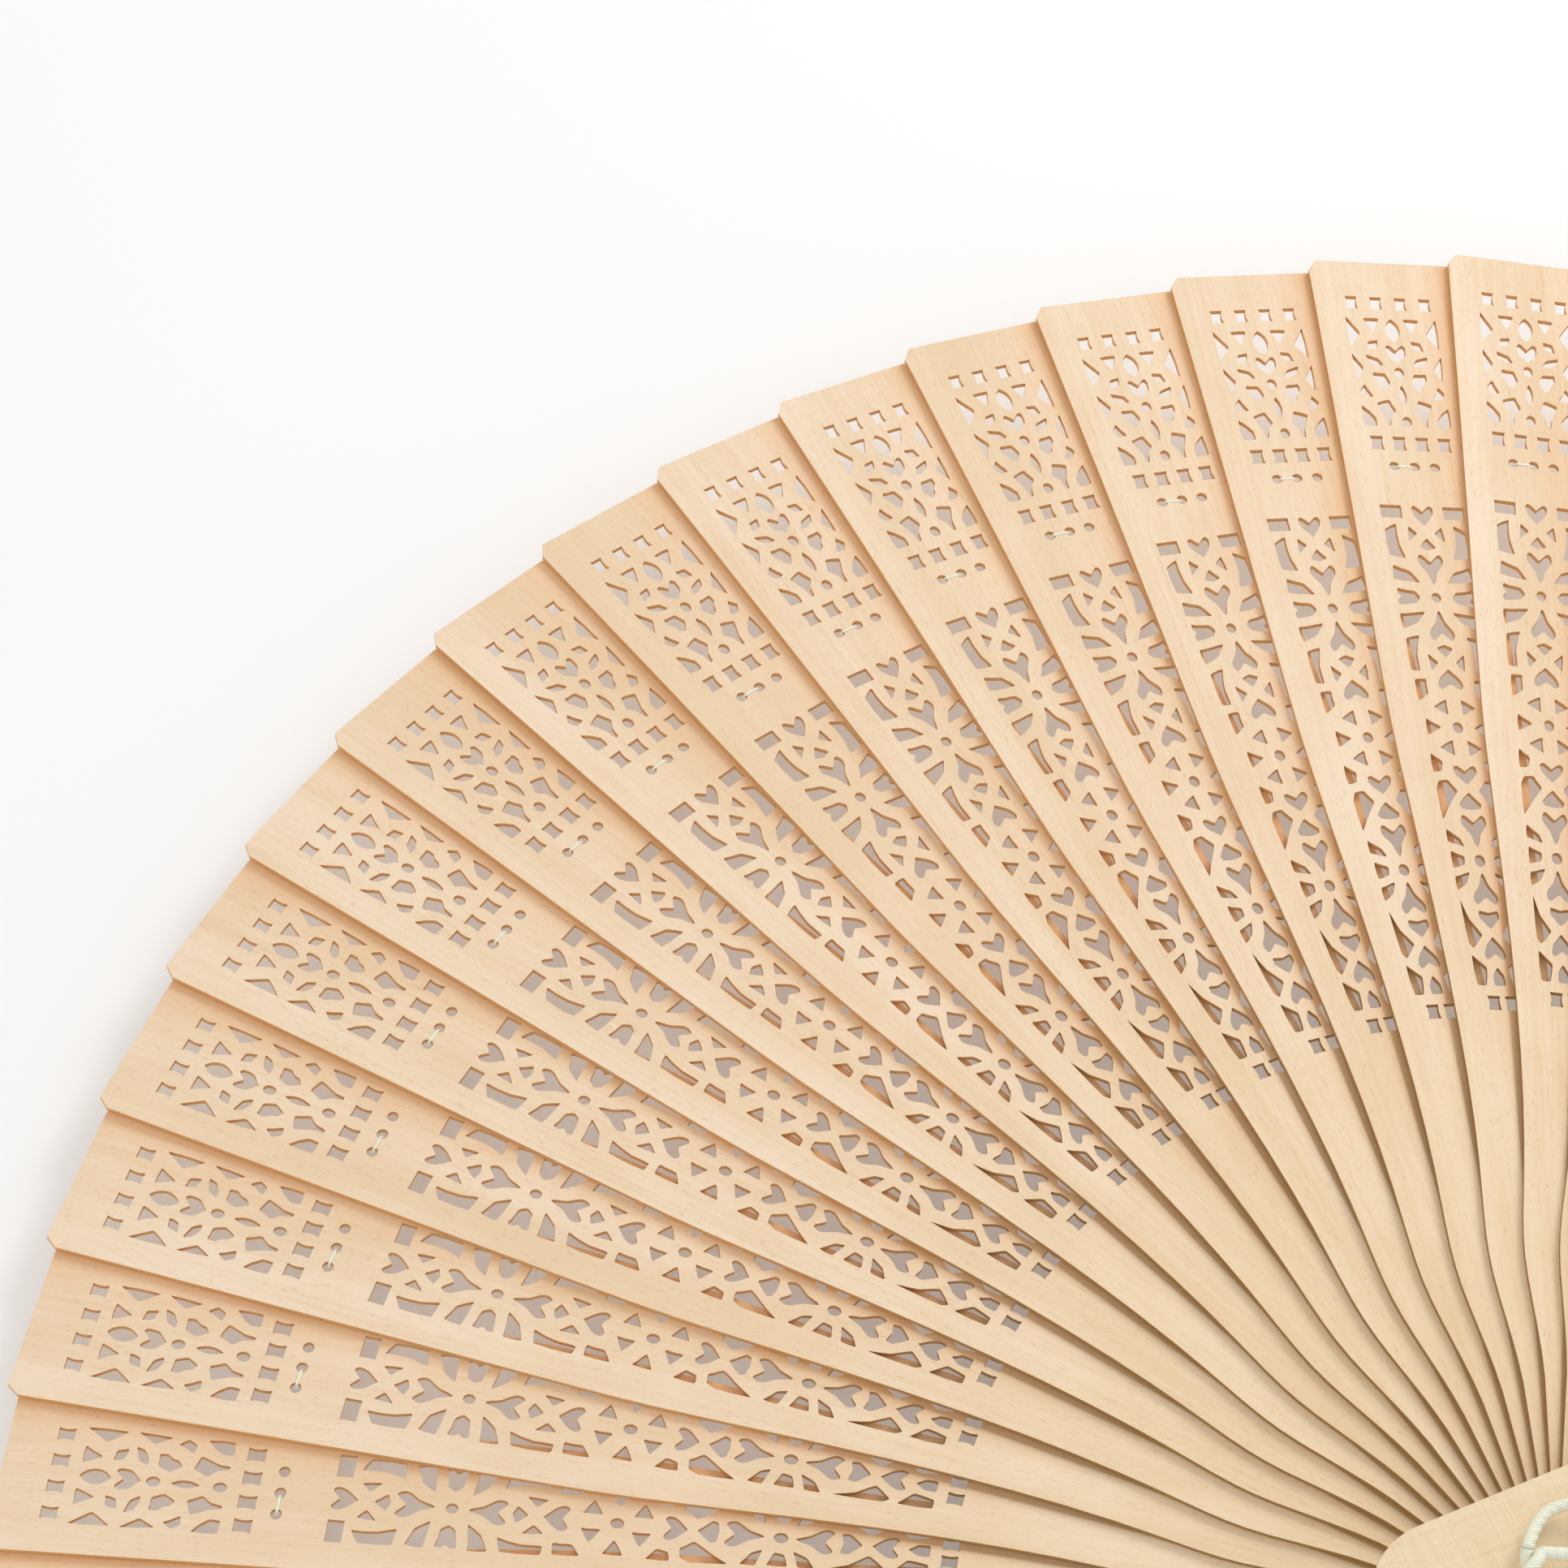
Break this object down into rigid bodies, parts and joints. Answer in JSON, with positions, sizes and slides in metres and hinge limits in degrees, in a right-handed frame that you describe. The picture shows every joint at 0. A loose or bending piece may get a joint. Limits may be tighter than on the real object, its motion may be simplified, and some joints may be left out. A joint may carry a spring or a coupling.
{
  "type": "folding hand fan",
  "caption": "Pierced sandalwood folding fan with two guards, a rivet at the pivot and a twisted tassel cord, shown open.",
  "frame": {"origin": "on the rivet's axis, at the underside of the back guard, level with the flush rivet head", "axes": "+Z along the rivet from the back guard to the front guard, +Y along the middle of the open fan, +X towards the front guard's tip"},
  "size_m": [0.3414, 0.2163, 0.0314],
  "materials": {
    "sandalwood": "satin",
    "guard_wood": "satin",
    "rivet_metal": "polished",
    "cord_thread": "satin"
  },
  "bodies": {
    "back_guard": {"back_guard": "guard_wood", "rivet": "rivet_metal", "back_washer": "rivet_metal", "front_washer": "rivet_metal", "cord_loop": "cord_thread", "cord": "cord_thread", "tassel_knot": "cord_thread", "tassel_binding": "cord_thread", "tassel_skirt": "cord_thread"},
    "front_guard": {"front_guard": "guard_wood"},
    "leaf_01": {"leaf_01": "sandalwood"},
    "leaf_02": {"leaf_02": "sandalwood"},
    "leaf_03": {"leaf_03": "sandalwood"},
    "leaf_04": {"leaf_04": "sandalwood"},
    "leaf_05": {"leaf_05": "sandalwood"},
    "leaf_06": {"leaf_06": "sandalwood"},
    "leaf_07": {"leaf_07": "sandalwood"},
    "leaf_08": {"leaf_08": "sandalwood"},
    "leaf_09": {"leaf_09": "sandalwood"},
    "leaf_10": {"leaf_10": "sandalwood"},
    "leaf_11": {"leaf_11": "sandalwood"},
    "leaf_12": {"leaf_12": "sandalwood"},
    "leaf_13": {"leaf_13": "sandalwood"},
    "leaf_14": {"leaf_14": "sandalwood"},
    "leaf_15": {"leaf_15": "sandalwood"},
    "leaf_16": {"leaf_16": "sandalwood"},
    "leaf_17": {"leaf_17": "sandalwood"},
    "leaf_18": {"leaf_18": "sandalwood"},
    "leaf_19": {"leaf_19": "sandalwood"},
    "leaf_20": {"leaf_20": "sandalwood"},
    "leaf_21": {"leaf_21": "sandalwood"},
    "leaf_22": {"leaf_22": "sandalwood"},
    "leaf_23": {"leaf_23": "sandalwood"},
    "leaf_24": {"leaf_24": "sandalwood"},
    "leaf_25": {"leaf_25": "sandalwood"},
    "leaf_26": {"leaf_26": "sandalwood"},
    "leaf_27": {"leaf_27": "sandalwood"},
    "leaf_28": {"leaf_28": "sandalwood"}
  },
  "joints": [
    {"name": "front_guard_turn", "type": "hinge", "parent": "back_guard", "child": "front_guard", "pos_m": [0, 0, 0.025], "axis": [0, 0, 1], "range_deg": [0, 169.65]},
    {"name": "leaf_01_turn", "type": "hinge", "parent": "back_guard", "child": "leaf_01", "pos_m": [0, 0, 0.00245], "axis": [0, 0, 1], "range_deg": [0, 5.86]},
    {"name": "leaf_02_turn", "type": "hinge", "parent": "back_guard", "child": "leaf_02", "pos_m": [0, 0, 0.00325], "axis": [0, 0, 1], "range_deg": [0, 11.71]},
    {"name": "leaf_03_turn", "type": "hinge", "parent": "back_guard", "child": "leaf_03", "pos_m": [0, 0, 0.00405], "axis": [0, 0, 1], "range_deg": [0, 17.56]},
    {"name": "leaf_04_turn", "type": "hinge", "parent": "back_guard", "child": "leaf_04", "pos_m": [0, 0, 0.00485], "axis": [0, 0, 1], "range_deg": [0, 23.41]},
    {"name": "leaf_05_turn", "type": "hinge", "parent": "back_guard", "child": "leaf_05", "pos_m": [0, 0, 0.00565], "axis": [0, 0, 1], "range_deg": [0, 29.26]},
    {"name": "leaf_06_turn", "type": "hinge", "parent": "back_guard", "child": "leaf_06", "pos_m": [0, 0, 0.00645], "axis": [0, 0, 1], "range_deg": [0, 35.11]},
    {"name": "leaf_07_turn", "type": "hinge", "parent": "back_guard", "child": "leaf_07", "pos_m": [0, 0, 0.00725], "axis": [0, 0, 1], "range_deg": [0, 40.96]},
    {"name": "leaf_08_turn", "type": "hinge", "parent": "back_guard", "child": "leaf_08", "pos_m": [0, 0, 0.00805], "axis": [0, 0, 1], "range_deg": [0, 46.81]},
    {"name": "leaf_09_turn", "type": "hinge", "parent": "back_guard", "child": "leaf_09", "pos_m": [0, 0, 0.00885], "axis": [0, 0, 1], "range_deg": [0, 52.66]},
    {"name": "leaf_10_turn", "type": "hinge", "parent": "back_guard", "child": "leaf_10", "pos_m": [0, 0, 0.00965], "axis": [0, 0, 1], "range_deg": [0, 58.51]},
    {"name": "leaf_11_turn", "type": "hinge", "parent": "back_guard", "child": "leaf_11", "pos_m": [0, 0, 0.01045], "axis": [0, 0, 1], "range_deg": [0, 64.36]},
    {"name": "leaf_12_turn", "type": "hinge", "parent": "back_guard", "child": "leaf_12", "pos_m": [0, 0, 0.01125], "axis": [0, 0, 1], "range_deg": [0, 70.21]},
    {"name": "leaf_13_turn", "type": "hinge", "parent": "back_guard", "child": "leaf_13", "pos_m": [0, 0, 0.01205], "axis": [0, 0, 1], "range_deg": [0, 76.06]},
    {"name": "leaf_14_turn", "type": "hinge", "parent": "back_guard", "child": "leaf_14", "pos_m": [0, 0, 0.01285], "axis": [0, 0, 1], "range_deg": [0, 81.91]},
    {"name": "leaf_15_turn", "type": "hinge", "parent": "back_guard", "child": "leaf_15", "pos_m": [0, 0, 0.01365], "axis": [0, 0, 1], "range_deg": [0, 87.76]},
    {"name": "leaf_16_turn", "type": "hinge", "parent": "back_guard", "child": "leaf_16", "pos_m": [0, 0, 0.01445], "axis": [0, 0, 1], "range_deg": [0, 93.61]},
    {"name": "leaf_17_turn", "type": "hinge", "parent": "back_guard", "child": "leaf_17", "pos_m": [0, 0, 0.01525], "axis": [0, 0, 1], "range_deg": [0, 99.46]},
    {"name": "leaf_18_turn", "type": "hinge", "parent": "back_guard", "child": "leaf_18", "pos_m": [0, 0, 0.01605], "axis": [0, 0, 1], "range_deg": [0, 105.31]},
    {"name": "leaf_19_turn", "type": "hinge", "parent": "back_guard", "child": "leaf_19", "pos_m": [0, 0, 0.01685], "axis": [0, 0, 1], "range_deg": [0, 111.16]},
    {"name": "leaf_20_turn", "type": "hinge", "parent": "back_guard", "child": "leaf_20", "pos_m": [0, 0, 0.01765], "axis": [0, 0, 1], "range_deg": [0, 117.01]},
    {"name": "leaf_21_turn", "type": "hinge", "parent": "back_guard", "child": "leaf_21", "pos_m": [0, 0, 0.01845], "axis": [0, 0, 1], "range_deg": [0, 122.86]},
    {"name": "leaf_22_turn", "type": "hinge", "parent": "back_guard", "child": "leaf_22", "pos_m": [0, 0, 0.01925], "axis": [0, 0, 1], "range_deg": [0, 128.71]},
    {"name": "leaf_23_turn", "type": "hinge", "parent": "back_guard", "child": "leaf_23", "pos_m": [0, 0, 0.02005], "axis": [0, 0, 1], "range_deg": [0, 134.56]},
    {"name": "leaf_24_turn", "type": "hinge", "parent": "back_guard", "child": "leaf_24", "pos_m": [0, 0, 0.02085], "axis": [0, 0, 1], "range_deg": [0, 140.41]},
    {"name": "leaf_25_turn", "type": "hinge", "parent": "back_guard", "child": "leaf_25", "pos_m": [0, 0, 0.02165], "axis": [0, 0, 1], "range_deg": [0, 146.26]},
    {"name": "leaf_26_turn", "type": "hinge", "parent": "back_guard", "child": "leaf_26", "pos_m": [0, 0, 0.02245], "axis": [0, 0, 1], "range_deg": [0, 152.11]},
    {"name": "leaf_27_turn", "type": "hinge", "parent": "back_guard", "child": "leaf_27", "pos_m": [0, 0, 0.02325], "axis": [0, 0, 1], "range_deg": [0, 157.96]},
    {"name": "leaf_28_turn", "type": "hinge", "parent": "back_guard", "child": "leaf_28", "pos_m": [0, 0, 0.02405], "axis": [0, 0, 1], "range_deg": [0, 163.81]}
  ],
  "couplings": [
    {"joint": "leaf_01_turn", "follows": "front_guard_turn", "ratio": 0.034483},
    {"joint": "leaf_02_turn", "follows": "front_guard_turn", "ratio": 0.068966},
    {"joint": "leaf_03_turn", "follows": "front_guard_turn", "ratio": 0.10345},
    {"joint": "leaf_04_turn", "follows": "front_guard_turn", "ratio": 0.13793},
    {"joint": "leaf_05_turn", "follows": "front_guard_turn", "ratio": 0.17241},
    {"joint": "leaf_06_turn", "follows": "front_guard_turn", "ratio": 0.2069},
    {"joint": "leaf_07_turn", "follows": "front_guard_turn", "ratio": 0.24138},
    {"joint": "leaf_08_turn", "follows": "front_guard_turn", "ratio": 0.27586},
    {"joint": "leaf_09_turn", "follows": "front_guard_turn", "ratio": 0.31034},
    {"joint": "leaf_10_turn", "follows": "front_guard_turn", "ratio": 0.34483},
    {"joint": "leaf_11_turn", "follows": "front_guard_turn", "ratio": 0.37931},
    {"joint": "leaf_12_turn", "follows": "front_guard_turn", "ratio": 0.41379},
    {"joint": "leaf_13_turn", "follows": "front_guard_turn", "ratio": 0.44828},
    {"joint": "leaf_14_turn", "follows": "front_guard_turn", "ratio": 0.48276},
    {"joint": "leaf_15_turn", "follows": "front_guard_turn", "ratio": 0.51724},
    {"joint": "leaf_16_turn", "follows": "front_guard_turn", "ratio": 0.55172},
    {"joint": "leaf_17_turn", "follows": "front_guard_turn", "ratio": 0.58621},
    {"joint": "leaf_18_turn", "follows": "front_guard_turn", "ratio": 0.62069},
    {"joint": "leaf_19_turn", "follows": "front_guard_turn", "ratio": 0.65517},
    {"joint": "leaf_20_turn", "follows": "front_guard_turn", "ratio": 0.68966},
    {"joint": "leaf_21_turn", "follows": "front_guard_turn", "ratio": 0.72414},
    {"joint": "leaf_22_turn", "follows": "front_guard_turn", "ratio": 0.75862},
    {"joint": "leaf_23_turn", "follows": "front_guard_turn", "ratio": 0.7931},
    {"joint": "leaf_24_turn", "follows": "front_guard_turn", "ratio": 0.82759},
    {"joint": "leaf_25_turn", "follows": "front_guard_turn", "ratio": 0.86207},
    {"joint": "leaf_26_turn", "follows": "front_guard_turn", "ratio": 0.89655},
    {"joint": "leaf_27_turn", "follows": "front_guard_turn", "ratio": 0.93103},
    {"joint": "leaf_28_turn", "follows": "front_guard_turn", "ratio": 0.96552}
  ]
}
